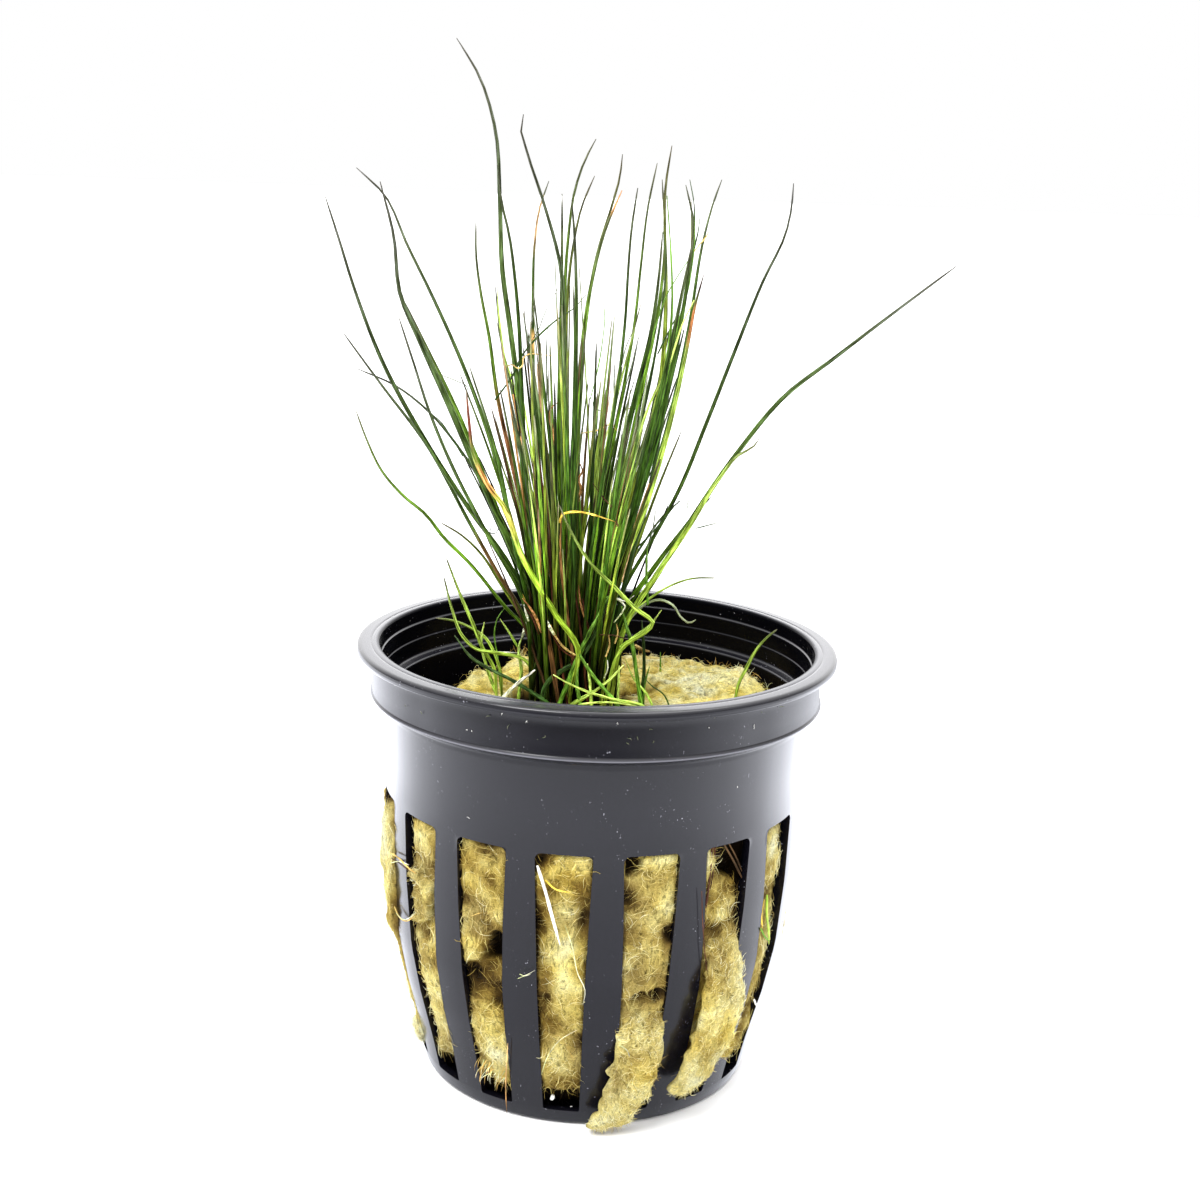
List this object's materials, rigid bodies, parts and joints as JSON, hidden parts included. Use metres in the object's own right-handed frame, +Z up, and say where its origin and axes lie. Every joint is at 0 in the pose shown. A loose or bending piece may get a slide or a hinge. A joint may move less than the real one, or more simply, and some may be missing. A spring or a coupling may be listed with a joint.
{
  "type": "potted dwarf hairgrass plant",
  "caption": "Dwarf hairgrass: a fanned tuft of fine green leaves rooted in rock wool, in a black slotted net pot with a wide rim; an aquarium plant that stands on its flat base",
  "frame": {"origin": "centre of the pot's base, on the surface that the pot stands on", "axes": "+Z up along the pot's axis, -Y towards the front, +X to the right seen from the front"},
  "size_m": [0.0683, 0.055, 0.117],
  "materials": {
    "pot_plastic": "semi-gloss, moulded, with faint dust and scratches",
    "rock_wool": "loose mineral fibre, matte",
    "green_leaf": "living leaf, satin",
    "young_leaf": "young living leaf, satin"
  },
  "bodies": {
    "root": {"blade_front_01": "young_leaf", "blade_front_02": "young_leaf", "blade_left_01": "green_leaf", "blade_left_02": "green_leaf", "blade_left_03": "green_leaf", "blade_left_04": "green_leaf", "blade_left_05": "green_leaf", "blade_left_06": "green_leaf", "blade_left_07": "green_leaf", "blade_left_08": "green_leaf", "blade_left_09": "green_leaf", "blade_low_01": "young_leaf", "blade_low_02": "young_leaf", "blade_mid_01": "green_leaf", "blade_mid_02": "green_leaf", "blade_mid_03": "green_leaf", "blade_mid_04": "green_leaf", "blade_mid_05": "green_leaf", "blade_mid_06": "green_leaf", "blade_mid_07": "green_leaf", "blade_mid_08": "green_leaf", "blade_mid_09": "green_leaf", "blade_mid_10": "green_leaf", "blade_mid_11": "green_leaf", "blade_mid_12": "green_leaf", "blade_mid_13": "green_leaf", "blade_mid_14": "green_leaf", "blade_right_01": "green_leaf", "blade_right_02": "green_leaf", "blade_right_03": "green_leaf", "blade_right_04": "green_leaf", "blade_right_05": "green_leaf", "blade_right_06": "green_leaf", "blade_right_07": "green_leaf", "blade_right_08": "green_leaf", "blade_right_09": "green_leaf", "blade_right_10": "green_leaf", "blade_right_11": "green_leaf", "blade_right_12": "green_leaf", "blade_right_13": "green_leaf", "pot": "pot_plastic", "rock_wool": "rock_wool", "sheaf_01": "green_leaf", "sheaf_02": "green_leaf", "sheaf_03": "green_leaf", "sheaf_04": "green_leaf", "sheaf_05": "green_leaf", "sheaf_06": "green_leaf", "sheaf_07": "green_leaf", "sheaf_08": "green_leaf", "sheaf_09": "green_leaf", "sheaf_10": "green_leaf", "sheaf_11": "green_leaf", "shoot_left_01": "young_leaf", "shoot_left_02": "young_leaf", "shoot_left_03": "young_leaf", "shoot_right_01": "young_leaf"}
  },
  "joints": []
}
